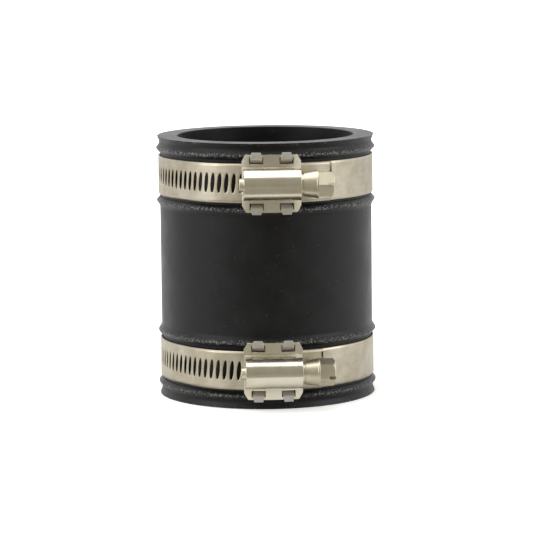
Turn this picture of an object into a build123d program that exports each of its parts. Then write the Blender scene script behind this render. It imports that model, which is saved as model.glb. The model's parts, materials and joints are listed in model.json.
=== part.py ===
"""Flexible pipe coupling: a ribbed rubber sleeve with two worm-drive band clamps.

Frame: +Z along the sleeve's bore, origin at the centre of the bore in the lower end face.
Both clamp heads face -Y. Angles called phi are in degrees about +Z, from -Y towards +X.
"""

from build123d import *

import math
import os

# Sleeve, in millimetres
SLEEVE_LENGTH = 88.9
BORE_R = 30.15  # a pipe of 60.3 mm outside diameter
BODY_R = 36.3
LIP_R = 37.1
LIP_ROOT_R = 36.15
RIB_R = 37.6
SHOULDER_R = 36.35
GROOVE_FLOOR_R = 35.9
GROOVE_CENTRE_Z = 13.1  # from either end face
GROOVE_HALF_WIDTH = 7.45
SHOULDER_STEP = 0.15
RIB_OFFSET = 8.9  # rib tip from the groove's centre
LIP_ROOT_OFFSET = 10.8
BODY_ROOT_OFFSET = 10.7
RIB_TIP_FILLET = 0.3
ROOT_FILLET = 0.9
LIP_FILLET = 0.2

# Sheet metal of the clamps
BAND_T = 0.6
BAND_WIDTH = 13.0
SADDLE_T = 0.6
HOUSING_T = 0.8
LAYER_GAP = 0.05
RUNNING_GAP = 0.1
BAND_REST_GAP = 0.25  # between the rubber and the band

# Radii of the clamp's layers, from the rubber outwards
BASE_R = GROOVE_FLOOR_R + BAND_REST_GAP  # inside of the band where it lies on the sleeve
SADDLE_OUT_R = BASE_R + SADDLE_T
FIXED_R = SADDLE_OUT_R + LAYER_GAP  # inside of the band's anchored end
FREE_R = FIXED_R + BAND_T + RUNNING_GAP  # inside of the band's slotted end
FREE_OUT_R = FREE_R + BAND_T
FLANGE_R = FREE_OUT_R + RUNNING_GAP
FLANGE_OUT_R = FLANGE_R + HOUSING_T

# Worm
PITCH = 2.5
THREAD_R = 4.2
THREAD_ROOT_R = 3.55
THREAD_CREST = 0.6
THREAD_FLANK_DEG = 15
THREAD_ROOT_BURIED = 0.2
THREAD_BITE = 0.5  # how far the crest reaches into the band
WORM_AXIS_R = FREE_OUT_R - THREAD_BITE + THREAD_R
FREE_MID_R = FREE_R + BAND_T / 2
FEED_DEG = math.degrees(PITCH / FREE_MID_R)  # band travel for one turn of the worm

# Turns of each worm from its drawn position; a positive turn tightens
UPPER_TURNS = 0.0
LOWER_TURNS = -1.56

# Band path, phi in degrees
FIXED_END_PHI = -4.0
FIXED_RAMP = (23.0, 40.0)
FREE_RAMP = (304.0, 333.0)
RAMP_STEPS = 6
TAIL_PHI = 360 + 32.2  # end of the free tail at zero turns
TAIL_CORNER_R = 1.2

# Slots: each is a narrow ellipse, slanted to suit the worm
SLOT_LENGTH = 6.5
SLOT_WIDTH = 1.4
SLOT_ZERO_PHI = 360 - 0.2  # centre of the slot under the middle of the worm at zero turns
SLOTS_TOWARDS_TAIL = 8
SLOTS_AWAY_FROM_TAIL = 27
PUNCH_REACH = 0.5  # how far a cut runs past the strip's faces, where nothing lies under it
SLOT_SLANT_DEG = math.degrees(math.atan(PITCH / (2 * math.pi * (THREAD_R - THREAD_BITE / 2))))

# Housing
HOUSING_HALF_LENGTH = 9.8
HOUSING_HALF_HEIGHT = 9.6
HOUSING_CORNER = (1.3, 2.2)
BARREL_R = THREAD_R + 0.25 + HOUSING_T
BARREL_IN_R = BARREL_R - HOUSING_T
BARREL_HALF_LENGTH = 9.45
BARREL_FOOT_FILLET = 0.8
BARREL_RIM_FILLET = 0.5
END_WALL_T = 0.8
WINDOW_PHI = 7.35
WINDOW_LENGTH = 4.6
WINDOW_INNER_Z = 6.5
WINDOW_OUTER_Z = 8.7

# Saddle
SADDLE_HALF_LENGTH = 9.2
SADDLE_HALF_WIDTH = BAND_WIDTH / 2 + 0.1
TAB_ROOT_OVERLAP = 0.08  # how far a tab's root reaches into the plate
TAB_LENGTH = 4.0
TAB_TIP_Z = 10.3
TAB_TIP_LENGTH = 3.0

# Screw, stations along +X
PILOT_R = 2.15
PILOT_CHAMFER = 0.3
HOLE_GAP = 0.1
PILOT_TIP_X = -10.9
THREAD_END_X = 8.4
NECK_X = 10.3
CONE_START_R = 3.9
CONE_X = 14.5
CONE_R = 4.6
COLLAR_X = 15.2
COLLAR_R = 4.7
COLLAR_CHAMFER = 0.05
HEX_X = 20.4
HEX_FLATS = 7.94
HEX_CHAMFER = 0.9
CROWN_CLEARANCE = 0.1  # the crown starts outside the hexagon's corners
HEX_TURN_DEG = -21.3  # of the hexagon from the thread's start
DRIVER_SLOT = (1.2, 2.2)  # width, depth

UPPER_Z = SLEEVE_LENGTH - GROOVE_CENTRE_Z
LOWER_Z = GROOVE_CENTRE_Z


def at(radius, phi):
    """The point at a radius and an angle phi, in the plane z = 0."""
    a = math.radians(phi)
    return (radius * math.sin(a), -radius * math.cos(a), 0)


def radial_and_tangent(phi):
    """Unit vectors outwards and along the band at an angle phi."""
    a = math.radians(phi)
    return Vector(math.sin(a), -math.cos(a), 0), Vector(math.cos(a), math.sin(a), 0)


def section(points):
    """A face in the half plane of +X and +Z from (radius, z) pairs."""
    return make_face(Polyline(*[(r, 0, z) for r, z in points], close=True))


def round_corners(face, radius, places):
    """Rounds the corners of a section that lie at the given (radius, z) places."""
    found = [v for v in face.vertices() if any(math.hypot(v.X - r, v.Z - z) < 1e-6 for r, z in places)]
    return fillet(found, radius)


def make_sleeve():
    """Tube with a sharp lip at each end and two ribs beside each clamp groove."""
    floor_edge = (GROOVE_HALF_WIDTH, GROOVE_FLOOR_R)
    shoulder = (GROOVE_HALF_WIDTH + SHOULDER_STEP, SHOULDER_R)
    tip = (RIB_OFFSET, RIB_R)
    lip_root = (LIP_ROOT_OFFSET, LIP_ROOT_R)
    body_root = (BODY_ROOT_OFFSET, BODY_R)

    # Half profile: (radius, z) from the lower lip up through the lower groove, then mirrored.
    lower = [(LIP_R, 0.0)]
    lower += [(r, GROOVE_CENTRE_Z - u) for u, r in (lip_root, tip, shoulder, floor_edge)]
    lower += [(r, GROOVE_CENTRE_Z + u) for u, r in (floor_edge, shoulder, tip, body_root)]
    upper = [(r, SLEEVE_LENGTH - z) for r, z in reversed(lower)]
    face = section([(BORE_R, 0.0), *lower, *upper, (BORE_R, SLEEVE_LENGTH)])

    def both_ends(*places):
        near = [(r, GROOVE_CENTRE_Z + side * u) for side, (u, r) in places]
        return near + [(r, SLEEVE_LENGTH - z) for r, z in near]

    face = round_corners(face, RIB_TIP_FILLET, both_ends((-1, tip), (1, tip)))
    face = round_corners(face, ROOT_FILLET, both_ends((-1, lip_root), (1, body_root)))
    face = round_corners(face, LIP_FILLET, [(LIP_R, 0.0), (LIP_R, SLEEVE_LENGTH)])
    return revolve(face, Axis.Z)


def blend_up(t):
    """0 to 1 with level ends."""
    return t * t * (3 - 2 * t)


def band_inside_r(phi):
    """Radius of the band's inner face along its spiral."""
    if phi <= FIXED_RAMP[1]:
        t = max(0.0, (phi - FIXED_RAMP[0]) / (FIXED_RAMP[1] - FIXED_RAMP[0]))
        return FIXED_R + (BASE_R - FIXED_R) * blend_up(t)
    t = (phi - FREE_RAMP[0]) / (FREE_RAMP[1] - FREE_RAMP[0])
    return BASE_R + (FREE_R - BASE_R) * blend_up(min(1.0, max(0.0, t)))


def band_edges(offset, tail_phi):
    """The spiral of one face of the band, offset outwards from its inner face."""

    def arc(radius, start, end):
        return CenterArc((0, 0), radius + offset, start - 90, end - start)

    def ramp(start, end):
        steps = [start + (end - start) * i / RAMP_STEPS for i in range(RAMP_STEPS + 1)]
        points = [at(band_inside_r(phi) + offset, phi) for phi in steps]
        return Spline(*points, tangents=[radial_and_tangent(phi)[1] for phi in (start, end)])

    return [
        arc(FIXED_R, FIXED_END_PHI, FIXED_RAMP[0]),
        ramp(*FIXED_RAMP),
        arc(BASE_R, FIXED_RAMP[1], FREE_RAMP[0]),
        ramp(*FREE_RAMP),
        arc(FREE_R, FREE_RAMP[1], tail_phi),
    ]


def slot_angles(turns):
    """Slot centres, one pitch apart along the strip."""
    zero = SLOT_ZERO_PHI + turns * FEED_DEG
    angles = [zero + i * FEED_DEG for i in range(SLOTS_TOWARDS_TAIL + 1)]
    phi = zero
    for _ in range(SLOTS_AWAY_FROM_TAIL):
        phi -= math.degrees(PITCH / (band_inside_r(phi - FEED_DEG / 2) + BAND_T / 2))
        angles.append(phi)
    return angles


def punch(strip, plane, outline, inset=LAYER_GAP):
    """The strip less an outline cut from a plane at an inset under it out past its outer face."""
    return strip - extrude(plane * outline, inset + BAND_T + PUNCH_REACH)


def make_band(turns):
    """One strip wound from its anchored end round the sleeve and through the housing to its tail."""
    tail_phi = TAIL_PHI + turns * FEED_DEG
    ends = [
        Line(at(r, phi), at(r + BAND_T, phi))
        for r, phi in ((FIXED_R, FIXED_END_PHI), (FREE_R, tail_phi))
    ]
    outline = band_edges(0, tail_phi) + band_edges(BAND_T, tail_phi) + ends
    strip = extrude(make_face(outline), BAND_WIDTH / 2, both=True)

    slant = math.radians(SLOT_SLANT_DEG)
    for phi in slot_angles(turns):
        radial, tangent = radial_and_tangent(phi)
        along = tangent * math.sin(slant) + Vector(0, 0, math.cos(slant))
        # The strip slopes on the ramp, so a cut starts deeper there. Past it the anchored end is close.
        inset = PUNCH_REACH if phi < FREE_RAMP[1] else LAYER_GAP
        plane = Plane(radial * (band_inside_r(phi) - inset), x_dir=along, z_dir=radial)
        strip = punch(strip, plane, Ellipse(SLOT_LENGTH / 2, SLOT_WIDTH / 2), inset)

    # What lies outside a round-cornered rectangle that ends at the tail is cut away.
    radial, tangent = radial_and_tangent(tail_phi)
    plane = Plane(radial * (FREE_R - LAYER_GAP), x_dir=tangent, z_dir=radial)
    reach = 2 * TAIL_CORNER_R
    keep = RectangleRounded(2 * reach, BAND_WIDTH, TAIL_CORNER_R)
    waste = Pos(-reach / 2) * Rectangle(reach, BAND_WIDTH + 2) - Pos(-reach) * keep
    return punch(strip, plane, waste)


def channel(radius, half_length):
    """A straight barrel along X over an opening that runs in to the sleeve."""
    place = Pos(0, -WORM_AXIS_R, 0)
    barrel = place * Rot(0, 90, 0) * Cylinder(radius, 2 * half_length)
    depth = WORM_AXIS_R - BODY_R
    legs = Box(2 * half_length, depth, 2 * radius, align=(Align.CENTER, Align.MIN, Align.CENTER))
    return barrel + place * legs


def make_housing():
    """Stamped cover: a barrel over the worm, and flanges curved to the band with four windows."""
    x, z = HOUSING_HALF_LENGTH, HOUSING_HALF_HEIGHT
    cut_x, cut_z = HOUSING_CORNER
    half = [(x, z - cut_z), (x - cut_x, z), (-x + cut_x, z), (-x, z - cut_z)]
    outline = half + [(-a, -b) for a, b in half]
    plan = make_face(Polyline(*[(a, 0, b) for a, b in outline], close=True))
    height = 3 * HOUSING_HALF_HEIGHT
    ring = Cylinder(FLANGE_OUT_R, height) - Cylinder(FLANGE_R, height)
    flange = ring & extrude(plan, FLANGE_OUT_R + 1, dir=(0, -1, 0))
    shell = flange + channel(BARREL_R, BARREL_HALF_LENGTH) - Cylinder(FLANGE_R, height)

    def is_foot(edge):
        middle = edge.position_at(0.5)
        on_flange = abs(math.hypot(middle.X, middle.Y) - FLANGE_OUT_R) < 0.05
        return on_flange and edge.length > BARREL_HALF_LENGTH and abs(abs(middle.Z) - BARREL_R) < 0.01

    shell = fillet(shell.edges().filter_by(is_foot), BARREL_FOOT_FILLET)
    arcs = [e for e in shell.edges().filter_by(GeomType.CIRCLE) if abs(e.radius - BARREL_R) < 0.01]
    rims = [e for e in arcs if abs(abs(e.center().X) - BARREL_HALF_LENGTH) < 0.01]
    shell = fillet(rims, BARREL_RIM_FILLET)
    shell -= channel(BARREL_IN_R, BARREL_HALF_LENGTH - END_WALL_T)

    for side, shaft_r in ((-1, PILOT_R), (1, THREAD_ROOT_R)):
        hole = Rot(0, 90, 0) * Cylinder(shaft_r + HOLE_GAP, 4 * END_WALL_T)
        shell -= Pos(side * HOUSING_HALF_LENGTH, -WORM_AXIS_R, 0) * hole
        window = Box(WINDOW_LENGTH, 4 * HOUSING_T, WINDOW_OUTER_Z - WINDOW_INNER_Z)
        for end in (-1, 1):
            z = end * (WINDOW_OUTER_Z + WINDOW_INNER_Z) / 2
            shell -= Rot(0, 0, side * WINDOW_PHI) * Pos(0, -FLANGE_OUT_R, z) * window
    return shell


def make_tab():
    """A tab of the saddle at phi 0 on the +Z edge, folded out over the housing's flange."""
    fold_r = FLANGE_OUT_R + LAYER_GAP
    root_z = SADDLE_HALF_WIDTH - TAB_ROOT_OVERLAP
    rise_z = SADDLE_HALF_WIDTH + SADDLE_T
    fold_z = WINDOW_OUTER_Z - LAYER_GAP
    points = [
        (root_z, BASE_R),
        (rise_z, BASE_R),
        (rise_z, FLANGE_R - 0.7),
        (fold_z, FLANGE_OUT_R - 0.15),
        (fold_z, fold_r),
        (TAB_TIP_Z, fold_r),
        (TAB_TIP_Z, fold_r + SADDLE_T),
        (fold_z - 0.3, fold_r + SADDLE_T),
        (SADDLE_HALF_WIDTH, FLANGE_R - 0.45),
        (SADDLE_HALF_WIDTH, SADDLE_OUT_R),
        (root_z, SADDLE_OUT_R),
    ]
    face = make_face(Polyline(*[(0, -r, z) for z, r in points], close=True))
    tab = extrude(face, TAB_LENGTH / 2, both=True, dir=(1, 0, 0))
    right = [(TAB_LENGTH / 2, 0, 0), (TAB_LENGTH / 2, 0, fold_z), (TAB_TIP_LENGTH / 2, 0, TAB_TIP_Z)]
    left = [(-x, y, z) for x, y, z in reversed(right)]
    plan = make_face(Polyline(*right, *left, close=True))
    return tab & extrude(plan, WORM_AXIS_R, dir=(0, -1, 0))


def make_saddle():
    """Curved plate under the band, with four tabs that pass the band's edges and hold the housing."""
    ring = Cylinder(SADDLE_OUT_R, 2 * SADDLE_HALF_WIDTH) - Cylinder(BASE_R, 2 * SADDLE_HALF_WIDTH)
    front = (Align.CENTER, Align.MAX, Align.CENTER)
    saddle = ring & Box(2 * SADDLE_HALF_LENGTH, WORM_AXIS_R, 2 * BAND_WIDTH, align=front)
    upper_tab = make_tab()
    for tab in (upper_tab, mirror(upper_tab, Plane.XY)):
        for side in (-1, 1):
            saddle += Rot(0, 0, side * WINDOW_PHI) * tab
    return saddle


def make_thread():
    """Right-handed worm thread about +Z whose crest crosses +X at z = 0, cut square at its ends."""
    reach = (math.ceil(THREAD_END_X / PITCH) + 1) * PITCH
    inner = THREAD_ROOT_R - THREAD_ROOT_BURIED
    top = THREAD_CREST / 2
    foot = top + (THREAD_R - inner) * math.tan(math.radians(THREAD_FLANK_DEG))
    path = Helix(PITCH, 2 * reach, THREAD_ROOT_R, center=(0, 0, -reach))
    points = [(inner, -foot), (THREAD_R, -top), (THREAD_R, top), (inner, foot)]
    profile = section([(r, z - reach) for r, z in points])
    return sweep(profile, path=path, is_frenet=True) & Box(4 * THREAD_R, 4 * THREAD_R, 2 * THREAD_END_X)


def make_screw(turns):
    """Worm, pilot, coned collar and slotted hexagon head along +X, turned to its place."""
    profile = [
        (0, PILOT_TIP_X),
        (PILOT_R - PILOT_CHAMFER, PILOT_TIP_X),
        (PILOT_R, PILOT_TIP_X + PILOT_CHAMFER),
        (PILOT_R, -THREAD_END_X),
        (THREAD_ROOT_R, -THREAD_END_X),
        (THREAD_ROOT_R, NECK_X),
        (CONE_START_R, NECK_X),
        (CONE_R, CONE_X),
        (COLLAR_R, CONE_X + COLLAR_CHAMFER),
        (COLLAR_R, COLLAR_X),
        (0, COLLAR_X),
    ]
    shank = revolve(section(profile), Axis.Z)
    shank += make_thread()

    corner_r = HEX_FLATS / math.sqrt(3)
    head = Pos(0, 0, COLLAR_X) * extrude(RegularPolygon(corner_r, 6), HEX_X - COLLAR_X)
    crown_r = corner_r + CROWN_CLEARANCE
    crown = [(0, COLLAR_X), (crown_r, COLLAR_X), (crown_r, HEX_X - HEX_CHAMFER)]
    crown += [(corner_r - HEX_CHAMFER, HEX_X), (0, HEX_X)]
    head &= revolve(section(crown), Axis.Z)
    width, depth = DRIVER_SLOT
    head -= Pos(0, 0, HEX_X - depth / 2) * Box(3 * corner_r, width, depth)
    shank += Rot(0, 0, HEX_TURN_DEG) * head
    # Local +Z becomes +X and local +X becomes +Y, where the worm faces the band.
    screw = Plane((0, 0, 0), x_dir=(0, 1, 0), z_dir=(1, 0, 0)) * shank
    first_slot_x = math.radians(SLOT_ZERO_PHI - 360) * FREE_MID_R
    return Pos(0, -WORM_AXIS_R, 0) * Rot(-360 * (turns + first_slot_x / PITCH), 0, 0) * screw


def make_clamp(name, z, turns):
    """The four pieces of a clamp, each under its node's name."""
    pieces = {
        "band": make_band(turns),
        "saddle": make_saddle(),
        "housing": make_housing(),
        "screw": make_screw(turns),
    }
    return {f"{name}_{piece}": Pos(0, 0, z) * shape for piece, shape in pieces.items()}


def main():
    os.makedirs("parts", exist_ok=True)
    nodes = {"rubber_sleeve": make_sleeve()}
    nodes |= make_clamp("upper", UPPER_Z, UPPER_TURNS)
    nodes |= make_clamp("lower", LOWER_Z, LOWER_TURNS)
    for name, shape in nodes.items():
        export_step(shape, f"parts/{name}.step")
    print("band feed per turn of a screw:", round(FEED_DEG, 4), "degrees")
    print("worm axis radius:", round(WORM_AXIS_R, 3), "clamp heights:", round(UPPER_Z, 3), LOWER_Z)


main()
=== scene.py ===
"""Looks of a flexible pipe coupling: a moulded rubber sleeve and two worm-drive band clamps.

Laid out as an add-on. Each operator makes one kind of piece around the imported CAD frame.
Lengths are in metres. An angle called phi turns about +Z, from -Y towards +X.
"""

import json
import math

import bmesh
import bpy
import numpy as np
from mathutils import Matrix, Vector


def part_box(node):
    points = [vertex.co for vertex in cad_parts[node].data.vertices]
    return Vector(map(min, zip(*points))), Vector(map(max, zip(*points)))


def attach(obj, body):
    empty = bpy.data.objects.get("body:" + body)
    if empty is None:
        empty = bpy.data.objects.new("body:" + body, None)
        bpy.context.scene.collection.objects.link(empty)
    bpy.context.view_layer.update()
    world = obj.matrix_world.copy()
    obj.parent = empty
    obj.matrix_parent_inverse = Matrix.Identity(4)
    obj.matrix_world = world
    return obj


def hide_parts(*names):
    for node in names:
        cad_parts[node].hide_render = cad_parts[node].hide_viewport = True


bl_info = {
    "name": "Pipe coupling",
    "version": (1, 0, 0),
    "blender": (4, 5, 0),
    "location": "3D View > Sidebar > Coupling",
    "description": "Makes the pieces of a rubber pipe coupling with two band clamps",
    "category": "Add Mesh",
}

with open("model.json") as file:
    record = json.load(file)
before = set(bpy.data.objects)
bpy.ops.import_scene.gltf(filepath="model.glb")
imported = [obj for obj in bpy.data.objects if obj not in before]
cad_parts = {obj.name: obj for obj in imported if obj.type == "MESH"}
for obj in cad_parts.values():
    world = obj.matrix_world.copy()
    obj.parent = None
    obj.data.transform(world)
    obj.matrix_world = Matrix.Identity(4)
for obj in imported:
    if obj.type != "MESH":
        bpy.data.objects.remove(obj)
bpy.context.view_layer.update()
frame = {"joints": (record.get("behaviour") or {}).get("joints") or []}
JOINTS = {joint["name"]: joint for joint in frame["joints"]}
MM = 0.001
SHEET_WELD = 2e-6  # distance below which points of a sheet's patches are one

# Each clamp's screw turns from its drawn position; a positive turn tightens.
CLAMPS = {"upper": 0.0, "lower": -1.56}
WORM_AXIS_R = -JOINTS["upper_screw_turn"]["pos_m"][1]
CLAMP_Z = {name: JOINTS[f"{name}_clamp_swivel"]["pos_m"][2] for name in CLAMPS}


# ---- Settings ----


def length(name, description, default):
    """A length property, shown in the scene's units."""
    return bpy.props.FloatProperty(name=name, description=description, default=default, unit="LENGTH")


def tint(name, description, default):
    """An sRGB hex colour as text."""
    return bpy.props.StringProperty(name=name, description=description, default=default)


def turn(name, description, degrees):
    """An angle property, given in degrees."""
    return bpy.props.FloatProperty(
        name=name, description=description, default=math.radians(degrees), unit="ROTATION"
    )


class SleeveSettings(bpy.types.PropertyGroup):
    """Sizes and colours of the rubber sleeve."""

    length: length("Length", "From end face to end face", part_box("rubber_sleeve")[1].z)
    bore_r: length("Bore radius", "Inside radius, that of the pipe", 30.15 * MM)
    body_r: length("Body radius", "Outside radius between the clamps", 36.3 * MM)
    rib_r: length("Rib radius", "Outside radius of the ribs' tips", 37.6 * MM)
    lip_r: length("Lip radius", "Outside radius of the end lips", 37.1 * MM)
    groove_r: length("Groove radius", "Outside radius under a clamp", 35.9 * MM)
    groove_half: length("Groove half width", "Half the width of a clamp's groove", 7.45 * MM)
    rib_offset: length("Rib offset", "From a groove's middle to a rib's tip", 8.9 * MM)
    colour: tint("Rubber", "Colour of the clean rubber", "#0a0a0b")
    bloom: tint("Bloom", "Colour where the rubber has gone dull", "#151516")
    dust: tint("Dust", "Colour of the dust on the ribs", "#85847f")


class ClampSettings(bpy.types.PropertyGroup):
    """Sizes and colours of the band clamps."""

    band_t: length("Band thickness", "Thickness of the strip", 0.6 * MM)
    band_width: length("Band width", "Width of the strip", 13.0 * MM)
    pitch: length("Pitch", "From slot to slot, and the worm's advance in a turn", 2.5 * MM)
    slot_length: length("Slot length", "From end to end of a slot", 6.5 * MM)
    slot_width: length("Slot width", "Width of a slot at its middle", 1.4 * MM)
    hex_flats: length("Hexagon", "Across the flats of the screw's head", 7.94 * MM)
    band_colour: tint("Band", "Colour of the strip", "#c3bcab")
    band_stain: tint("Band stain", "Colour of the strip's rolled streaks", "#a89e88")
    housing_colour: tint("Housing", "Colour of the polished pressing", "#e2dccb")
    saddle_colour: tint("Saddle", "Colour of the sheared tabs", "#c4c2bc")
    screw_colour: tint("Screw", "Colour of the screw", "#cfc8b2")


class StageSettings(bpy.types.PropertyGroup):
    """The floor, the lamps and the camera."""

    floor: tint("Floor", "Colour of the floor", "#f4f4f2")
    card: tint("Card", "Colour of the card that the metal reflects", "#99958a")
    distance: length("Distance", "From the sleeve's axis to the camera, level", 0.9435)
    height: length("Height", "Of the camera above the floor", 0.1713)
    azimuth: turn("Azimuth", "Of the camera, about +Z", -2.93)
    pitch: turn("Pitch", "How far the camera looks down", 7.741)
    roll: turn("Roll", "How far the camera leans", -0.602)
    lens: bpy.props.FloatProperty(
        name="Lens", description="Focal length on a 36 mm sensor", default=186.5, unit="CAMERA"
    )


# ---- Shapes ----


def rounded(points, radii, steps=5):
    """A closed outline with each corner P replaced by a parabola, (1 - t)^2 A + 2 t (1 - t) P + t^2 B.

    A and B lie on the corner's two sides, at the given distance from it.
    """
    points = np.asarray(points, float)
    back = np.roll(points, 1, axis=0) - points
    ahead = np.roll(points, -1, axis=0) - points
    reach = np.asarray(radii, float)[:, None]
    start = points + back / np.linalg.norm(back, axis=1, keepdims=True) * reach
    end = points + ahead / np.linalg.norm(ahead, axis=1, keepdims=True) * reach
    t = np.linspace(0, 1, steps)[None, :, None]
    curve = (1 - t) ** 2 * start[:, None] + 2 * t * (1 - t) * points[:, None] + t**2 * end[:, None]
    return curve.reshape(-1, points.shape[1])


def grid(points, wrap_rows=False, wrap_columns=False, keep=None):
    """A patch: points on a grid of rows and columns, and the quads between them.

    Where keep is given, only the quads that it marks true are made.
    """
    points = np.asarray(points, float)
    rows, columns = points.shape[:2]
    index = np.arange(rows * columns).reshape(rows, columns)
    if wrap_rows:
        index = np.vstack([index, index[:1]])
    if wrap_columns:
        index = np.hstack([index, index[:, :1]])
    quads = np.stack([index[:-1, :-1], index[:-1, 1:], index[1:, 1:], index[1:, :-1]], axis=-1)
    if keep is not None:
        quads = quads[keep]
    return points.reshape(-1, 3), quads.reshape(-1, 4)


def joined(patches):
    """Several patches as one list of points and one of quads."""
    starts = np.cumsum([0] + [len(points) for points, _ in patches[:-1]])
    points = np.concatenate([points for points, _ in patches])
    quads = np.concatenate([quads + start for (_, quads), start in zip(patches, starts)])
    return points, quads


def revolved(profile, count, axis="Z"):
    """A (radius, height) outline turned about an axis.

    About +Z, x = r sin(phi), y = -r cos(phi) and z = height. About +X, x = height and z = r sin(phi).
    """
    phi = np.linspace(0, 2 * np.pi, count, endpoint=False)[:, None]
    r, h = profile[None, :, 0], profile[None, :, 1]
    across, along = r * np.sin(phi), -r * np.cos(phi)
    height = np.broadcast_to(h, across.shape)
    order = {"Z": (across, along, height), "X": (height, along, across)}[axis]
    return np.stack(order, axis=-1)


def make_mesh(name, patches, outwards=None, weld=1e-6):
    """A mesh object of welded patches with its faces turned outwards.

    For an open sheet, outwards is the direction that its outer side faces.
    """
    points, quads = joined(patches)
    mesh = bpy.data.meshes.new(name)
    mesh.from_pydata(points.tolist(), [], quads.tolist())
    bm = bmesh.new()
    bm.from_mesh(mesh)
    bmesh.ops.remove_doubles(bm, verts=bm.verts, dist=weld)
    bmesh.ops.recalc_face_normals(bm, faces=bm.faces)
    if outwards is not None:
        lean = sum((face.normal * face.calc_area() for face in bm.faces), Vector()).dot(Vector(outwards))
        if lean < 0:
            bmesh.ops.reverse_faces(bm, faces=bm.faces)
    bm.to_mesh(mesh)
    bm.free()
    mesh.polygons.foreach_set("use_smooth", np.ones(len(mesh.polygons), bool))
    piece = bpy.data.objects.new(name, mesh)
    bpy.context.scene.collection.objects.link(piece)
    return piece


def thicken(piece, thickness):
    """Gives a sheet its wall, inwards from its outer face, never further than the thickness."""
    wall = piece.modifiers.new("Wall", "SOLIDIFY")
    wall.thickness = thickness
    wall.offset = -1


def soften(piece, width, segments, angle):
    """Rounds every edge sharper than an angle."""
    bevel = piece.modifiers.new("Soft edges", "BEVEL")
    bevel.width = width
    bevel.segments = segments
    bevel.limit_method = "ANGLE"
    bevel.angle_limit = math.radians(angle)
    bevel.use_clamp_overlap = True
    bevel.harden_normals = True


def even_shading(piece):
    """Makes large faces look flat and only the rounded edges curved."""
    piece.modifiers.new("Shading", "WEIGHTED_NORMAL")


def fit(piece, material, slot, body, *nodes):
    """Gives a piece its material and its place in the frame."""
    piece.data.materials.append(material)
    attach(piece, body)
    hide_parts(*nodes)


# ---- Materials ----


def linear(hex_colour):
    """An sRGB hex colour as linear RGBA."""
    value = np.array([int(hex_colour[i : i + 2], 16) for i in (1, 3, 5)]) / 255
    light = np.where(value <= 0.04045, value / 12.92, ((value + 0.055) / 1.055) ** 2.4)
    return (*light.tolist(), 1.0)


def add(tree, kind, inputs=None, **settings):
    """Adds one node with its settings; an input is a constant or another node's output."""
    made = tree.nodes.new(kind)
    for name, value in settings.items():
        setattr(made, name, value)
    for key, value in (inputs or {}).items():
        if isinstance(value, bpy.types.NodeSocket):
            tree.links.new(value, made.inputs[key])
        else:
            made.inputs[key].default_value = value
    return made


def new_material(name):
    """An empty material with a surface shader and its output."""
    material = bpy.data.materials.new(name)
    material.use_nodes = True
    tree = material.node_tree
    tree.nodes.clear()
    shader = add(tree, "ShaderNodeBsdfPrincipled")
    add(tree, "ShaderNodeOutputMaterial", {"Surface": shader.outputs["BSDF"]})
    return material, tree, shader


def moulded_rubber(settings):
    """Moulded rubber, black: matt, with a cloudy grey bloom, a fine grit, and dust caught along the ribs."""
    material, tree, shader = new_material("moulded black rubber")
    place = add(tree, "ShaderNodeTexCoord").outputs["Object"]
    # Bloom clouds about 8 mm across.
    cloud = add(
        tree, "ShaderNodeTexNoise", {"Vector": place, "Scale": 120.0, "Detail": 5.0, "Roughness": 0.6}
    )
    patchy = add(
        tree,
        "ShaderNodeMapRange",
        {"Value": cloud.outputs["Fac"], "From Min": 0.35, "From Max": 0.7},
    )
    base = add(
        tree,
        "ShaderNodeMix",
        {0: patchy.outputs[0], 6: linear(settings.colour), 7: linear(settings.bloom)},
        data_type="RGBA",
    )
    # Dust keeps to what stands proud of the body: the ribs and lips.
    parts = add(tree, "ShaderNodeSeparateXYZ", {0: place})
    flat = add(tree, "ShaderNodeCombineXYZ", {0: parts.outputs[0], 1: parts.outputs[1]})
    radius = add(tree, "ShaderNodeVectorMath", {0: flat.outputs[0]}, operation="LENGTH")
    proud = add(
        tree,
        "ShaderNodeMapRange",
        {
            "Value": radius.outputs["Value"],
            "From Min": settings.body_r + 0.15 * MM,
            "From Max": settings.rib_r - 0.2 * MM,
            "To Max": 0.2,
        },
    )
    # Specks about 0.5 mm across, drawn a little coarser than real dust so that they show.
    specks = add(
        tree, "ShaderNodeTexNoise", {"Vector": place, "Scale": 1500.0, "Detail": 3.0, "Roughness": 0.7}
    )
    threshold = add(tree, "ShaderNodeMath", {0: 0.68, 1: proud.outputs[0]}, operation="SUBTRACT")
    above = add(
        tree, "ShaderNodeMath", {0: specks.outputs["Fac"], 1: threshold.outputs[0]}, operation="SUBTRACT"
    )
    dusty = add(
        tree,
        "ShaderNodeMapRange",
        {"Value": above.outputs[0], "From Min": 0.0, "From Max": 0.1, "To Max": 0.75},
    )
    coloured = add(
        tree,
        "ShaderNodeMix",
        {0: dusty.outputs[0], 6: base.outputs[2], 7: linear(settings.dust)},
        data_type="RGBA",
    )
    rough = add(
        tree,
        "ShaderNodeMapRange",
        {"Value": cloud.outputs["Fac"], "From Min": 0.3, "From Max": 0.7, "To Min": 0.34, "To Max": 0.5},
    )
    grit = add(tree, "ShaderNodeTexNoise", {"Vector": place, "Scale": 2600.0, "Detail": 3.0})
    bump = add(
        tree, "ShaderNodeBump", {"Strength": 0.35, "Distance": 0.06 * MM, "Height": grit.outputs["Fac"]}
    )
    tree.links.new(coloured.outputs[2], shader.inputs["Base Color"])
    tree.links.new(rough.outputs[0], shader.inputs["Roughness"])
    tree.links.new(bump.outputs[0], shader.inputs["Normal"])
    shader.inputs["IOR"].default_value = 1.34
    # Fine dust in the bloom scatters light at grazing angles.
    shader.inputs["Sheen Weight"].default_value = 0.15
    shader.inputs["Sheen Roughness"].default_value = 0.4
    return material


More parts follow.
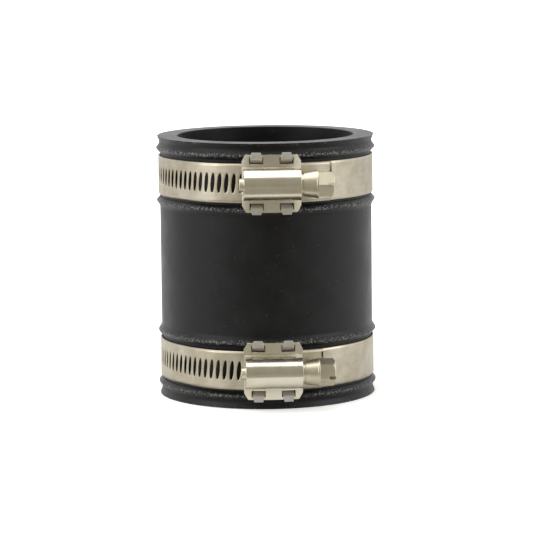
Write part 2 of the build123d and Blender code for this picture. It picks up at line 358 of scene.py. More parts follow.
def rolled_stainless(settings):
    """Stainless strip, cold rolled: satin, with streaks along the strip and a warm stain."""
    material, tree, shader = new_material("rolled satin stainless strip")
    place = add(tree, "ShaderNodeTexCoord").outputs["Object"]
    # The strip runs round +Z, so a pattern stretched across X and Y gives streaks along it.
    stretch = add(tree, "ShaderNodeMapping", {"Vector": place, "Scale": (0.06, 0.06, 1.0)})
    streak = add(
        tree,
        "ShaderNodeTexNoise",
        {"Vector": stretch.outputs[0], "Scale": 3500.0, "Detail": 4.0, "Roughness": 0.65},
    )
    stain = add(
        tree, "ShaderNodeTexNoise", {"Vector": place, "Scale": 160.0, "Detail": 4.0, "Roughness": 0.55}
    )
    both = add(
        tree,
        "ShaderNodeMath",
        {0: streak.outputs["Fac"], 1: 0.35, 2: stain.outputs["Fac"]},
        operation="MULTIPLY_ADD",
    )
    amount = add(
        tree,
        "ShaderNodeMapRange",
        {"Value": both.outputs[0], "From Min": 0.5, "From Max": 0.85, "To Max": 0.85},
    )
    base = add(
        tree,
        "ShaderNodeMix",
        {0: amount.outputs[0], 6: linear(settings.band_colour), 7: linear(settings.band_stain)},
        data_type="RGBA",
    )
    rough = add(
        tree,
        "ShaderNodeMapRange",
        {"Value": streak.outputs["Fac"], "From Min": 0.3, "From Max": 0.7, "To Min": 0.3, "To Max": 0.42},
    )
    bump = add(
        tree, "ShaderNodeBump", {"Strength": 0.25, "Distance": 0.02 * MM, "Height": streak.outputs["Fac"]}
    )
    tree.links.new(base.outputs[2], shader.inputs["Base Color"])
    tree.links.new(rough.outputs[0], shader.inputs["Roughness"])
    tree.links.new(bump.outputs[0], shader.inputs["Normal"])
    shader.inputs["Metallic"].default_value = 1.0
    return material


def drawn_metal(name, colour, low, high, grain, depth):
    """Bright steel, pressed or cold headed: die marks of a given grain and depth break up its gloss."""
    material, tree, shader = new_material(name)
    place = add(tree, "ShaderNodeTexCoord").outputs["Object"]
    marks = add(
        tree, "ShaderNodeTexNoise", {"Vector": place, "Scale": 1 / grain, "Detail": 4.0, "Roughness": 0.6}
    )
    tarnish = add(tree, "ShaderNodeTexNoise", {"Vector": place, "Scale": 220.0, "Detail": 3.0})
    dull = add(
        tree,
        "ShaderNodeMapRange",
        {"Value": tarnish.outputs["Fac"], "From Min": 0.4, "From Max": 0.75, "To Max": 0.4},
    )
    warm = tuple(c * w for c, w in zip(linear(colour), (0.8, 0.74, 0.6, 1.0)))
    base = add(tree, "ShaderNodeMix", {0: dull.outputs[0], 6: linear(colour), 7: warm}, data_type="RGBA")
    rough = add(
        tree,
        "ShaderNodeMapRange",
        {"Value": marks.outputs["Fac"], "From Min": 0.3, "From Max": 0.7, "To Min": low, "To Max": high},
    )
    bump = add(tree, "ShaderNodeBump", {"Strength": 0.4, "Distance": depth, "Height": marks.outputs["Fac"]})
    tree.links.new(base.outputs[2], shader.inputs["Base Color"])
    tree.links.new(rough.outputs[0], shader.inputs["Roughness"])
    tree.links.new(bump.outputs[0], shader.inputs["Normal"])
    shader.inputs["Metallic"].default_value = 1.0
    return material


# ---- Sleeve ----

ROUND_STEPS = 480
WEAR = 0.11 * MM  # mean depth by which a tip is worn back
WEAR_FROM = 0.5 * MM  # outside the body, where wear starts
WEAR_RISE = 0.8 * MM  # further out, where it is full
WEAR_HEIGHT = 4 * MM  # tips this far apart have random lines of their own
WEAR_SEED = 40


def sleeve_outline(settings):
    """The wall's closed outline as (radius, z): bore, sharp lips, and a rib each side of each groove."""
    groove, rib = settings.groove_half, settings.rib_offset
    low_groove = CLAMP_Z["lower"]
    side = [
        (settings.groove_r, groove, 0.1),
        (settings.groove_r + 0.45 * MM, groove + 0.15 * MM, 0.1),
        (settings.rib_r, rib, 0.35),
    ]
    lip_root = (settings.body_r - 0.15 * MM, rib + 1.9 * MM, 1.0)
    body_root = (settings.body_r, rib + 1.8 * MM, 0.8)
    lower = [(settings.lip_r, 0.0, 0.12)]
    lower += [(r, low_groove - u, reach) for r, u, reach in (lip_root, *reversed(side))]
    lower += [(r, low_groove + u, reach) for r, u, reach in (*side, body_root)]
    upper = [(r, settings.length - z, reach) for r, z, reach in reversed(lower)]
    bore = settings.bore_r
    corners = [(bore, 0.0, 0.35), *lower, *upper, (bore, settings.length, 0.35)]
    table = np.array(corners)
    return rounded(table[:, :2], table[:, 2] * MM)


def flash(phi, seed, waves=60, slowest=3, fastest=160):
    """A random wavy line round the sleeve, mostly from -1 to 1: a sum of sin(k phi + lean)."""
    rng = np.random.default_rng(seed)
    k = rng.integers(slowest, fastest, waves)[None, :]
    lean = rng.uniform(0, 2 * np.pi, waves)[None, :]
    return np.sin(k * phi[:, None] + lean).sum(axis=1) / math.sqrt(waves) / 1.5


def make_sleeve(settings):
    """The sleeve's outline turned about +Z, with its sharp tips worn back by a random line round each."""
    outline = sleeve_outline(settings)
    points = revolved(outline, ROUND_STEPS)
    phi = np.linspace(0, 2 * np.pi, ROUND_STEPS, endpoint=False)
    tip = np.clip((outline[:, 0] - settings.body_r - WEAR_FROM) / WEAR_RISE, 0, 1)
    tiers = np.round(outline[:, 1] / WEAR_HEIGHT).astype(int)
    worn = np.stack([flash(phi, WEAR_SEED + tier) for tier in tiers], axis=1)
    cut = -WEAR * tip[None, :] * (1 + np.clip(worn, -1, 1))
    scale = 1 + cut / outline[None, :, 0]
    points[..., 0] *= scale
    points[..., 1] *= scale
    return make_mesh("sleeve", [grid(points, wrap_rows=True, wrap_columns=True)])


# ---- Clamp band ----

BASE_R = 36.15 * MM
FIXED_R = 36.8 * MM
FREE_R = 37.5 * MM
FIXED_END = math.radians(-4.0)
FIXED_RAMP = (math.radians(23.0), math.radians(40.0))
FREE_RAMP = (math.radians(304.0), math.radians(333.0))
TAIL_END = math.radians(360 + 32.2)
SLOT_ZERO = math.radians(360 - 0.2)
SLOTS_TO_TAIL = 8
SLOTS_FROM_TAIL = 27
SPIRAL_STEPS = 4000
MESH_R = 3.95 * MM  # worm's radius where its thread meets the band
SLOT_MARGIN = 0.6 * MM  # plain metal beyond a slot's tips, inside its cell
SIDE_SHARE = 0.75  # of a quarter's points, those that run up the cell's side
SLOT_DIP = (-0.05 * MM, -0.01 * MM, 0.0, 0.0)  # sink of the outer face, ring by ring from a slot's edge
MARGIN_ROWS = 4
PLAIN_STEPS = 170
TAIL_CORNER = 1.2 * MM
CORNER_STEPS = 6


def band_inside(phi):
    """Radius of the band's inner face: level, down a ramp, level, up a ramp and level to the tail.

    A ramp's share of its rise is t^2 (3 - 2 t).
    """
    down = np.clip((phi - FIXED_RAMP[0]) / (FIXED_RAMP[1] - FIXED_RAMP[0]), 0, 1)
    up = np.clip((phi - FREE_RAMP[0]) / (FREE_RAMP[1] - FREE_RAMP[0]), 0, 1)
    down = down * down * (3 - 2 * down)
    up = up * up * (3 - 2 * up)
    return FIXED_R + (BASE_R - FIXED_R) * down + (FREE_R - BASE_R) * up


class Strip:
    """The strip laid flat, then wound on its spiral: s along it, z across it, height above its middle."""

    def __init__(self, settings, turns):
        self.thickness = settings.band_t
        self.feed = turns * settings.pitch / (FREE_R + settings.band_t / 2)
        self.start = FIXED_END
        self.end = TAIL_END + self.feed
        self.phi = np.linspace(self.start, self.end, SPIRAL_STEPS)
        middle = band_inside(self.phi) + self.thickness / 2
        steps = np.diff(self.phi) * (middle[1:] + middle[:-1]) / 2
        self.s = np.concatenate([[0], np.cumsum(steps)])

    def at_phi(self, phi):
        """Distance along the strip at an angle."""
        return np.interp(phi, self.phi, self.s)

    def wind(self, s, z, height):
        """Points of the wound strip: the angle for s, the spiral's radius there plus the height, and z."""
        s, z, height = np.broadcast_arrays(s, z, height)
        phi = np.interp(s, self.s, self.phi)
        r = band_inside(phi) + self.thickness / 2 + height
        return np.stack([r * np.sin(phi), -r * np.cos(phi), z], axis=-1)


def slot_template(settings, rings=(0.0, 0.25, 0.6, 1.0)):
    """One pitch of the strip as rings from a slot's edge out to a rectangle, as offsets along and across.

    A slot's quarter is a quarter of an ellipse, x = a cos(t) and z = b sin(t). The rectangle's matching
    quarter runs up its side and along its top, so that neighbouring pitches share their edges.
    """
    half_pitch, half_height = settings.pitch / 2, settings.slot_length / 2 + SLOT_MARGIN
    theta = np.linspace(0, np.pi / 2, 13)
    slot = np.stack(
        [settings.slot_width / 2 * np.cos(theta), settings.slot_length / 2 * np.sin(theta)], axis=1
    )
    share = theta / (np.pi / 2)
    rise = np.clip(share / SIDE_SHARE, 0, 1)
    run = np.clip((share - SIDE_SHARE) / (1 - SIDE_SHARE), 0, 1)
    edge = np.stack([half_pitch * (1 - run), half_height * rise], axis=1)

    def all_round(quarter):
        right = np.concatenate([quarter[:0:-1] * (1, -1), quarter])
        return np.concatenate([right, right[-2:0:-1] * (-1, 1)])

    slot, edge = all_round(slot), all_round(edge)
    blend = np.array(rings)[:, None, None]
    return slot * (1 - blend) + edge * blend


def make_band(settings, name, turns):
    """The wound strip: cells with slots, a plain run at each end, and margins above and below the cells."""
    strip = Strip(settings, turns)
    pitch, half = settings.pitch, settings.band_width / 2
    lean = pitch / (2 * math.pi * MESH_R)
    template = slot_template(settings)
    top = template[..., 1].max()
    first = strip.at_phi(SLOT_ZERO + strip.feed)
    count = SLOTS_TO_TAIL + SLOTS_FROM_TAIL + 1
    centres = first + (np.arange(count) - SLOTS_FROM_TAIL) * pitch
    outer = strip.thickness / 2
    low, high = centres[0] - pitch / 2, centres[-1] + pitch / 2

    def sheared(s, z):
        return s + lean * np.clip(z, -top, top)

    def place(s, z, height=outer):
        return strip.wind(sheared(s, z), z, height)

    patches = []
    dip = np.array(SLOT_DIP)[:, None]
    for centre in centres:
        cell = place(centre + template[..., 0], template[..., 1], outer + dip)
        patches.append(grid(cell, wrap_columns=True))

    edge = template[-1]
    across = np.unique(np.round(edge[:, 0] / pitch, 6)) * pitch
    margin_s = (centres[:, None] + across[None, :-1]).ravel()
    margin_s = np.append(margin_s, high)
    for sign in (-1, 1):
        z = sign * np.linspace(top, half, MARGIN_ROWS)
        patches.append(grid(place(margin_s[:, None], z[None, :])))

    heights = np.unique(np.round(edge[:, 1] / MM, 6)) * MM
    margin = np.linspace(top, half, MARGIN_ROWS)[1:]
    z_rows = np.concatenate([-margin[::-1], heights, margin])

    def plain(start, end, steps, corner=0.0):
        """A run of the strip without slots, sheared at its start and square at its end.

        Where corner is given, it is the length over which the end's corners are rounded.
        """
        t = np.linspace(0, 1, steps)[:, None]
        if corner:
            near_end = 1 - np.linspace(0, corner, CORNER_STEPS)[1:] / abs(end - start)
            t = np.sort(np.append(t, near_end))[:, None]
        slanted = start + lean * np.clip(z_rows, -top, top)[None, :]
        s = slanted * (1 - t) + end * t
        near = np.clip(1 - abs(end - (start + (end - start) * t)) / max(corner, 1e-9), 0, 1)
        narrowed = half - corner * (1 - np.sqrt(np.clip(1 - near**2, 0, 1)))
        z = z_rows[None, :] / half * (narrowed if corner else half)
        return strip.wind(s, z, outer)

    # Known fault: the corners are longer than the plain run at the tail, so this patch lies over the
    # last cell.
    patches.append(grid(plain(high, strip.s[-1], 3, corner=TAIL_CORNER)))
    patches.append(grid(plain(low, 0.0, PLAIN_STEPS)))
    return make_mesh(f"{name}_band_strip", patches, weld=SHEET_WELD)


# ---- Clamp housing, saddle and screw ----

FLANGE_R = 39.0 * MM
HOUSING_T = 0.8 * MM
HOUSING_HALF = (9.8 * MM, 9.6 * MM)
BARREL_R = 5.25 * MM
BARREL_HALF = 9.45 * MM
WINDOW_X = (2.7 * MM, 7.3 * MM)
WINDOW_Z = (6.5 * MM, 8.7 * MM)
CUT_CORNER = (1.3 * MM, 2.2 * MM)
PILOT_HOLE_R = 2.25 * MM
NECK_HOLE_R = 3.65 * MM
ARC_STEPS = 33
RISE_STEPS = 4
SILL_STEPS = 9
WALL_RINGS = (0.0, 0.35, 0.7, 1.0)  # from an end wall's rim in to its hole
TOUCH = 1e-7  # distances below this are rounding

PLATE_R = 36.75 * MM
PLATE_HALF = 9.2 * MM
SADDLE_T = 0.5 * MM  # thinner than the CAD's, so that the dimpled tabs clear the flange
TAB_LEAN = math.radians(7.35)
DIMPLE_DEPTH = 0.1 * MM
DIMPLE_Z = 9.3 * MM
DIMPLE_SIZE = 0.45 * MM

THREAD_TURNS = 6.3
THREAD_R = 4.2 * MM
THREAD_FOOT_R = 3.4 * MM
THREAD_SINK = 0.75 * MM  # of the crest at each end of the thread
THREAD_CREST_HALF = 0.3 * MM
THREAD_FLANK = math.radians(15)
HEX_START = 15.0 * MM
HEX_END = 20.4 * MM
HEX_STEPS = 96
CROWN_START = 0.9 * MM  # back from the hexagon's end
CROWN_SLOPE = 1.05
CROWN_CLEARANCE = 0.1 * MM
DRIVER_SLOT = (1.2 * MM, 2.2 * MM)  # width and depth
HEX_TURN = math.radians(-21.3)  # of the hexagon from the thread's start


def on_flange(x, z, r=FLANGE_R):
    """Points on the cylinder of the flange's outer face."""
    x, z = np.broadcast_arrays(x, z)
    return np.stack([x, -np.sqrt(r**2 - x**2), z], axis=-1)


def make_housing(name):
    """A cover: flanges on a cylinder, with windows and cut corners, and a barrel with straight sides."""
    half_x, half_z = HOUSING_HALF
    marks = [-half_x, -BARREL_HALF, *(-x for x in reversed(WINDOW_X)), *WINDOW_X, BARREL_HALF, half_x]
    marks = sorted([*marks, -half_x + CUT_CORNER[0], half_x - CUT_CORNER[0]])
    x = np.unique(np.concatenate([np.linspace(a, b, 5) for a, b in zip(marks, marks[1:])]).round(9))
    over = np.clip((abs(x) - half_x + CUT_CORNER[0]) / CUT_CORNER[0], 0, 1)
    rim_z = half_z - over * CUT_CORNER[1]
    levels = [BARREL_R, *WINDOW_Z, half_z]
    rows = np.unique(np.concatenate([np.linspace(a, b, 4) for a, b in zip(levels, levels[1:])]).round(9))
    t = (rows - BARREL_R) / (half_z - BARREL_R)
    z = BARREL_R + t[:, None] * (rim_z - BARREL_R)[None, :]
    mid_x = (x[1:] + x[:-1]) / 2
    mid_z = (rows[1:] + rows[:-1]) / 2
    in_x = (abs(mid_x) > WINDOW_X[0]) & (abs(mid_x) < WINDOW_X[1])
    in_z = (mid_z > WINDOW_Z[0]) & (mid_z < WINDOW_Z[1])
    keep = ~(in_z[:, None] & in_x[None, :])
    patches = [grid(on_flange(x[None, :], sign * z), keep=keep) for sign in (-1, 1)]

    # The barrel's outline: up one side, round the half circle, down the other side.
    theta = np.linspace(-np.pi / 2, np.pi / 2, ARC_STEPS)
    arc = np.stack([WORM_AXIS_R + BARREL_R * np.cos(theta), BARREL_R * np.sin(theta)], axis=1)
    inner = x[abs(x) <= BARREL_HALF + TOUCH]
    foot_r = np.sqrt(FLANGE_R**2 - inner**2)
    rise = np.linspace(0, 1, RISE_STEPS + 1)[:-1]
    sides = foot_r[:, None] + (WORM_AXIS_R - foot_r[:, None]) * rise[None, :]
    depth = np.hstack([sides, np.broadcast_to(arc[:, 0], (len(inner), ARC_STEPS)), sides[:, ::-1]])
    level = np.concatenate([np.full(RISE_STEPS, -BARREL_R), arc[:, 1], np.full(RISE_STEPS, BARREL_R)])
    barrel = np.stack(
        [np.broadcast_to(inner[:, None], depth.shape), -depth, np.broadcast_to(level, depth.shape)], axis=-1
    )
    patches.append(grid(barrel))

    # End walls run from the barrel's outline in to a round hole; a strip of flange is left in front of each.
    for side, hole_r in ((-1, PILOT_HOLE_R), (1, NECK_HOLE_R)):
        rim = barrel[0 if side < 0 else -1]
        sill = on_flange(side * BARREL_HALF, np.linspace(BARREL_R, -BARREL_R, SILL_STEPS))
        loop = np.concatenate([rim, sill[1:-1]])
        centre = np.array([side * BARREL_HALF, -WORM_AXIS_R, 0.0])
        ray = (loop - centre) / np.linalg.norm(loop - centre, axis=1, keepdims=True)
        hole = centre + ray * hole_r
        share = np.array(WALL_RINGS)[:, None, None]
        patches.append(grid(loop * (1 - share) + hole * share, wrap_columns=True))
        lip_x = side * x[x >= BARREL_HALF - TOUCH]
        lip_z = np.linspace(-BARREL_R, BARREL_R, SILL_STEPS)
        patches.append(grid(on_flange(lip_x[None, :], lip_z[:, None])))
    return make_mesh(f"{name}_housing_cover", patches, outwards=(0, -1, 0), weld=SHEET_WELD)


def make_saddle(name, settings):
    """A curved plate under the band, and four tabs that bend out past its edge and over the flange."""
    half_z = settings.band_width / 2 + 0.1 * MM
    x = np.linspace(-PLATE_HALF, PLATE_HALF, 41)
    z = np.linspace(-half_z, half_z, 9)
    patches = [grid(on_flange(x[None, :], z[:, None], PLATE_R))]
    # The tab's outer face as (z, radius), rounded where it bends.
    path = np.array([(6.58, 36.75), (6.58, 37.75), (8.25, 39.62), (10.3, 39.62)]) * MM
    bends = rounded(path, np.array([0.0, 0.35, 0.5, 0.0]) * MM, steps=7)[6:-6]
    half_w = np.interp(bends[:, 0], [8.3 * MM, 10.3 * MM], [2.0 * MM, 1.5 * MM])
    across = np.linspace(-1, 1, 9)
    away = (bends[:, 0, None] - DIMPLE_Z) / DIMPLE_SIZE
    dimple = DIMPLE_DEPTH * np.exp(-((across[None, :] * 2) ** 2 + away**2))
    for side in (-1, 1):
        for end in (-1, 1):
            lean = side * TAB_LEAN
            u = across[None, :] * half_w[:, None]
            r = bends[:, 1, None] - dimple
            px = r * math.sin(lean) + u * math.cos(lean)
            py = -r * math.cos(lean) + u * math.sin(lean)
            pz = np.broadcast_to(end * bends[:, 0, None], px.shape)
            patches.append(grid(np.stack([px, py, pz], axis=-1)))
    return make_mesh(f"{name}_saddle_plate", patches, outwards=(0, -1, 0), weld=SHEET_WELD)


def make_screw(name, settings):
    """The screw along +X: a turned shank, a wound thread, and a chamfered hexagon with a driver slot."""
    shank = np.array(
        [
            (0.0, -10.9, 0.0),
            (2.15, -10.9, 0.35),
            (2.15, -8.4, 0.0),
            (3.55, -8.4, 0.1),
            (3.55, 10.3, 0.05),
            (3.9, 10.3, 0.12),
            (4.6, 14.5, 0.1),
            (4.7, 14.62, 0.05),
            (4.7, 15.2, 0.15),
            (0.0, 15.2, 0.0),
        ]
    )
    outline = rounded(shank[:, :2] * MM, np.maximum(shank[:, 2], 0.001) * MM, steps=4)
    outline[:, 0] = np.maximum(outline[:, 0], 0)
    patches = [grid(revolved(outline, 72, axis="X"), wrap_rows=True)]

    # Thread: a trapezium carried along a right-handed helix. Its crest sinks into the shank at each end, and
    # stays outside the foot there, so the section never turns inside out.
    last = math.pi * THREAD_TURNS
    angle = np.linspace(-last, last, 300)[:, None]
    crest = THREAD_R - THREAD_SINK * np.clip(abs(angle) - last + 1.0, 0, 1)
    foot = np.full_like(crest, THREAD_FOOT_R)
    half = THREAD_CREST_HALF
    spread = half + (THREAD_R - THREAD_FOOT_R) * math.tan(THREAD_FLANK)
    along = np.array([-spread, -half, -half / 3, half / 3, half, spread])[None, :]
    radius = np.hstack([foot, crest, crest, crest, crest, foot])
    x = along + settings.pitch * angle / (2 * math.pi)
    thread = np.stack([x, radius * np.cos(angle), radius * np.sin(angle)], axis=-1)
    # Each end closes on the middle of its section, inside the shank.
    ends = [np.broadcast_to(thread[i].mean(axis=0), thread[:1].shape) for i in (0, -1)]
    patches.append(grid(np.concatenate([ends[0], thread, ends[1]]), wrap_columns=True))
    shank_piece = make_mesh(f"{name}_screw_shank", patches)

    # Head: flats at half the size across flats, with a corner at +Y, and a cone. The smaller radius holds.
    corner = settings.hex_flats / math.sqrt(3)
    start, end = HEX_START, HEX_END
    theta = np.linspace(0, 2 * np.pi, HEX_STEPS, endpoint=False)
    flat = settings.hex_flats / 2 / np.cos(theta % (np.pi / 3) - np.pi / 6)
    stations = np.array([start, end - 2.3 * MM, *np.linspace(end - 1.0 * MM, end, 8)])
    cone = corner + CROWN_CLEARANCE - np.clip(stations - end + CROWN_START, 0, None) * CROWN_SLOPE
    r = np.minimum(flat[:, None], cone[None, :])
    side = np.stack(
        [np.broadcast_to(stations, r.shape), r * np.cos(theta)[:, None], r * np.sin(theta)[:, None]], axis=-1
    )
    middle = np.array([start, end])
    caps = np.broadcast_to(np.stack([middle, [0, 0], [0, 0]], axis=-1), (HEX_STEPS, 2, 3))
    body = np.concatenate([caps[:, :1], side, caps[:, 1:]], axis=1)
    head = make_mesh(f"{name}_screw_hexagon", [grid(body, wrap_rows=True)])
    width, depth = DRIVER_SLOT
    cutter = make_box((end - depth, -6 * MM, -width / 2), (end + 1 * MM, 6 * MM, width / 2))
    cut = head.modifiers.new("Driver slot", "BOOLEAN")
    cut.object = cutter
    cut.operation = "DIFFERENCE"
    cut.solver = "EXACT"
    apply_modifiers(head)
    bpy.data.objects.remove(cutter)
    head.data.transform(Matrix.Rotation(HEX_TURN, 4, "X"))
    return shank_piece, head


def make_box(low, high):
    """A closed block between two corners, for cutting."""
    x, y, z = zip(low, high)
    ring = np.array([(y[0], z[0]), (y[1], z[0]), (y[1], z[1]), (y[0], z[1])])
    mid = ring.mean(axis=0)
    rings = [np.tile(mid, (4, 1)), ring, ring, np.tile(mid, (4, 1))]
    depth = [x[0], x[0], x[1], x[1]]
    points = np.stack([np.column_stack([np.full(4, d), loop]) for d, loop in zip(depth, rings)])
    return make_mesh("cutter", [grid(points, wrap_columns=True)])


def apply_modifiers(piece):
    """Replaces a piece's mesh by what its modifiers make of it."""
    graph = bpy.context.evaluated_depsgraph_get()
    done = bpy.data.meshes.new_from_object(piece.evaluated_get(graph))
    piece.modifiers.clear()
    piece.data = done


# ---- Operators ----


class MakeSleeve(bpy.types.Operator):
    """Makes the moulded rubber sleeve"""

    bl_idname = "coupling.make_sleeve"
    bl_label = "Rubber sleeve"

    def execute(self, context):
        settings = context.scene.coupling_sleeve
        sleeve = make_sleeve(settings)
        fit(sleeve, moulded_rubber(settings), "rubber", "sleeve", "rubber_sleeve")
        even_shading(sleeve)
        return {"FINISHED"}


class MakeBands(bpy.types.Operator):
    """Makes the slotted bands of both clamps"""

    bl_idname = "coupling.make_bands"
    bl_label = "Clamp bands"

    def execute(self, context):
        settings = context.scene.coupling_clamp
        material = rolled_stainless(settings)
        for name, turns in CLAMPS.items():
            band = make_band(settings, name, turns)
            band.data.transform(Matrix.Translation((0, 0, CLAMP_Z[name])))
            thicken(band, settings.band_t)
            even_shading(band)
            fit(band, material, "band_steel", f"{name}_clamp_band", f"{name}_band")
        return {"FINISHED"}


class MakeHeads(bpy.types.Operator):
    """Makes the housing and the saddle of both clamps"""

    bl_idname = "coupling.make_heads"
    bl_label = "Clamp heads"

    def execute(self, context):
        settings = context.scene.coupling_clamp
        polished = drawn_metal(
            "polished stainless pressing", settings.housing_colour, 0.16, 0.26, 0.5 * MM, 0.012 * MM
        )
        sheared = drawn_metal(
            "sheared dull stainless", settings.saddle_colour, 0.45, 0.65, 0.3 * MM, 0.05 * MM
        )
        for name in CLAMPS:
            body = f"{name}_clamp_head"
            lift = Matrix.Translation((0, 0, CLAMP_Z[name]))
            housing = make_housing(name)
            housing.data.transform(lift)
            soften(housing, 0.5 * MM, 4, 40)
            thicken(housing, HOUSING_T)
            soften(housing, 0.14 * MM, 2, 50)
            even_shading(housing)
            fit(housing, polished, "housing_steel", body, f"{name}_housing")
            saddle = make_saddle(name, settings)
            saddle.data.transform(lift)
            thicken(saddle, SADDLE_T)
            soften(saddle, 0.12 * MM, 2, 50)
            even_shading(saddle)
            fit(saddle, sheared, "saddle_steel", body, f"{name}_saddle")
        return {"FINISHED"}


class MakeScrews(bpy.types.Operator):
    """Makes the worm screws of both clamps"""

    bl_idname = "coupling.make_screws"
    bl_label = "Clamp screws"

    def execute(self, context):
        settings = context.scene.coupling_clamp
        material = drawn_metal(
            "bright cold-headed steel", settings.screw_colour, 0.3, 0.42, 0.4 * MM, 0.008 * MM
        )
        free_mid = FREE_R + settings.band_t / 2
        for name, turns in CLAMPS.items():
            shank, head = make_screw(name, settings)
            start = (SLOT_ZERO - 2 * math.pi) * free_mid / settings.pitch
            turned = Matrix.Rotation(-2 * math.pi * (turns + start), 4, "X")
            placed = Matrix.Translation((0, -WORM_AXIS_R, CLAMP_Z[name])) @ turned
            for piece, width in ((shank, 0.0), (head, 0.22 * MM)):
                piece.data.transform(placed)
                if width:
                    soften(piece, width, 3, 25)
                even_shading(piece)
                piece.data.materials.append(material)
                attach(piece, f"{name}_clamp_screw")
            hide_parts(f"{name}_screw")
        return {"FINISHED"}


class MakeStage(bpy.types.Operator):
    """Makes the floor, the lamps, the world and the camera"""

    bl_idname = "coupling.make_stage"
    bl_label = "Stage"

    def execute(self, context):
        settings = context.scene.coupling_stage
        make_floor(settings)
        make_card(settings)
        make_lamps()
        make_world()
        make_camera(settings)
        context.scene.view_settings.view_transform = "Standard"
        return {"FINISHED"}


FLOOR_HALF = 2
FLOOR_Z = -0.05 * MM
CARD_LOW = ((-0.28, -0.8), (0.28, -0.075))  # opposite corners of the card on the floor
CARD_LOW_Z = 0.3 * MM
CARD_HIGH_Y = -0.8
CARD_HIGH_X = 0.36
CARD_HIGH_TOP = 1.25
LAMP_TARGET = Vector((0.0, 0.0, 0.04))
LAMPS = (  # name, place, size and power in watts
    ("soft_box_top", (-0.25, 0.05, 1.1), 1.2, 7.0),
    ("soft_box_left", (-1.1, -0.5, 0.45), 0.7, 3.5),
    ("soft_box_right", (1.1, -0.4, 0.5), 0.7, 3.5),
)


def sheet_at(name, low, high, z):
    """A flat level rectangle."""
    x = np.linspace(low[0], high[0], 2)[:, None]
    y = np.linspace(low[1], high[1], 2)[None, :]
    points = np.stack(np.broadcast_arrays(x, y, np.full((2, 2), z)), axis=-1)
    return make_mesh(name, [grid(points)], outwards=(0, 0, 1))


def make_floor(settings):
    """A pale floor that keeps the shadow, lifted towards white for the camera only."""
    floor = sheet_at("floor", (-FLOOR_HALF, -FLOOR_HALF), (FLOOR_HALF, FLOOR_HALF), FLOOR_Z)
    material, tree, shader = new_material("pale paper floor")
    shader.inputs["Base Color"].default_value = linear(settings.floor)
    shader.inputs["Roughness"].default_value = 0.9
    place = add(tree, "ShaderNodeTexCoord").outputs["Object"]
    away = add(tree, "ShaderNodeVectorMath", {0: place}, operation="LENGTH").outputs["Value"]
    # The lift grows with distance from the piece, so the floor's far edge meets the white surround unseen.
    lift = add(
        tree,
        "ShaderNodeMapRange",
        {"Value": away, "From Min": 0.06, "From Max": 0.5, "To Min": 0.42, "To Max": 1.0},
    )
    path = add(tree, "ShaderNodeLightPath")
    seen = add(
        tree, "ShaderNodeMath", {0: path.outputs["Is Camera Ray"], 1: lift.outputs[0]}, operation="MULTIPLY"
    )
    shader.inputs["Emission Color"].default_value = (1, 1, 1, 1)
    tree.links.new(seen.outputs[0], shader.inputs["Emission Strength"])
    floor.data.materials.append(material)


def make_card(settings):
    """A tall grey card in front of the camera and one on the floor before it, seen only in reflections."""
    material, tree, shader = new_material("grey paper card")
    shader.inputs["Base Color"].default_value = linear(settings.card)
    shader.inputs["Roughness"].default_value = 1.0
    low = sheet_at("card_low", *CARD_LOW, CARD_LOW_Z)
    x = np.array([-CARD_HIGH_X, CARD_HIGH_X])[:, None]
    z = np.array([0.0, CARD_HIGH_TOP])[None, :]
    points = np.stack(np.broadcast_arrays(x, np.full((2, 2), CARD_HIGH_Y), z), axis=-1)
    high = make_mesh("card_high", [grid(points)], outwards=(0, 1, 0))
    for card in (low, high):
        card.data.materials.append(material)
        card.visible_camera = False
        card.visible_diffuse = False
        card.visible_shadow = False


def make_lamps():
    """Three soft boxes: a large one overhead, and a lower fill at each side."""
    for name, place, size, power in LAMPS:
        light = bpy.data.lights.new(name, "AREA")
        light.shape = "SQUARE"
        light.size = size
        light.energy = power
        lamp = bpy.data.objects.new(name, light)
        lamp.location = place
        lamp.rotation_euler = (LAMP_TARGET - Vector(place)).to_track_quat("-Z", "Y").to_euler()
        bpy.context.scene.collection.objects.link(lamp)


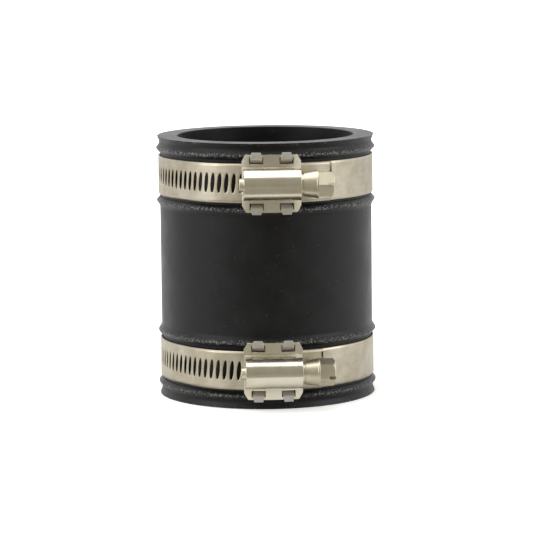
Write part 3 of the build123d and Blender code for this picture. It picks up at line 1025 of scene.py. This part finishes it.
def make_world():
    """A white surround for the camera, reflections and glass, and a softer one as light."""
    world = bpy.data.worlds.new("studio")
    world.use_nodes = True
    tree = world.node_tree
    tree.nodes.clear()
    path = add(tree, "ShaderNodeLightPath")
    one = add(
        tree,
        "ShaderNodeMath",
        {0: path.outputs["Is Camera Ray"], 1: path.outputs["Is Glossy Ray"]},
        operation="MAXIMUM",
    )
    two = add(
        tree,
        "ShaderNodeMath",
        {0: one.outputs[0], 1: path.outputs["Is Transmission Ray"]},
        operation="MAXIMUM",
    )
    strength = add(tree, "ShaderNodeMapRange", {"Value": two.outputs[0], "To Min": 0.62, "To Max": 1.0})
    surround = add(tree, "ShaderNodeBackground", {"Color": (1, 1, 1, 1), "Strength": strength.outputs[0]})
    add(tree, "ShaderNodeOutputWorld", {"Surface": surround.outputs[0]})
    bpy.context.scene.world = world


def make_camera(settings):
    """A long lens that looks slightly down at the clamp heads."""
    data = bpy.data.cameras.new("camera")
    data.lens = settings.lens
    data.sensor_width = 36.0
    data.clip_end = 50.0
    camera = bpy.data.objects.new("camera", data)
    level = Matrix.Rotation(math.pi / 2 - settings.pitch, 4, "X") @ Matrix.Rotation(settings.roll, 4, "Z")
    stand = Matrix.Translation((0, -settings.distance, settings.height))
    camera.matrix_world = Matrix.Rotation(settings.azimuth, 4, "Z") @ stand @ level
    bpy.context.scene.collection.objects.link(camera)
    bpy.context.scene.camera = camera


OPERATORS = (MakeSleeve, MakeBands, MakeHeads, MakeScrews, MakeStage)


class CouplingPanel(bpy.types.Panel):
    """Lists the coupling's operators"""

    bl_idname = "VIEW3D_PT_coupling"
    bl_label = "Pipe coupling"
    bl_space_type = "VIEW_3D"
    bl_region_type = "UI"
    bl_category = "Coupling"

    def draw(self, context):
        for operator in OPERATORS:
            self.layout.operator(operator.bl_idname)


SETTINGS = {
    "coupling_sleeve": SleeveSettings,
    "coupling_clamp": ClampSettings,
    "coupling_stage": StageSettings,
}


def register():
    for kind in (*SETTINGS.values(), *OPERATORS, CouplingPanel):
        bpy.utils.register_class(kind)
    for name, kind in SETTINGS.items():
        setattr(bpy.types.Scene, name, bpy.props.PointerProperty(type=kind))


def unregister():
    for name in SETTINGS:
        delattr(bpy.types.Scene, name)
    for kind in (CouplingPanel, *reversed(OPERATORS), *SETTINGS.values()):
        bpy.utils.unregister_class(kind)


def main():
    """Makes every piece and the stage."""
    register()
    bpy.ops.coupling.make_sleeve()
    bpy.ops.coupling.make_bands()
    bpy.ops.coupling.make_heads()
    bpy.ops.coupling.make_screws()
    bpy.ops.coupling.make_stage()


if __name__ == "__main__":
    main()
